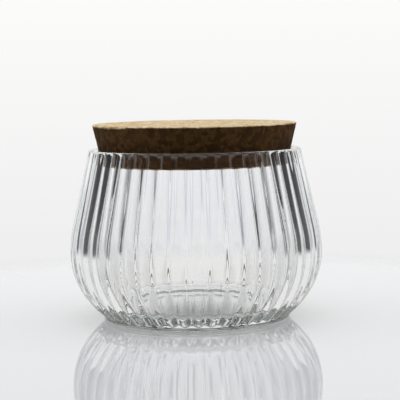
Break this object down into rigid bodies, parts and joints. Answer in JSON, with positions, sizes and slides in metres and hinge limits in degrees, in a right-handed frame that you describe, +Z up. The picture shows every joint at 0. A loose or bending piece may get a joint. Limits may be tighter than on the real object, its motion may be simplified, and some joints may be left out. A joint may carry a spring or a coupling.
{
  "type": "storage jar",
  "caption": "Squat storage jar of clear ribbed glass with a rounded belly, a plain foot and a tapered cork stopper that lifts out of its wide mouth.",
  "frame": {"origin": "on the floor, at the centre of the ring that the jar stands on", "axes": "+Z up along the axis of the jar and its stopper; the crest of a rib faces -Y and another +X"},
  "size_m": [0.105, 0.105, 0.0809],
  "materials": {
    "clear_glass": "gloss",
    "cork": "matte"
  },
  "bodies": {
    "jar": {"glass_jar": "clear_glass"},
    "stopper": {"cork_stopper": "cork"}
  },
  "joints": [
    {"name": "stopper_lift", "type": "slide", "parent": "jar", "child": "stopper", "axis": [0, 0, 1], "range_m": [0, 0.1]}
  ]
}
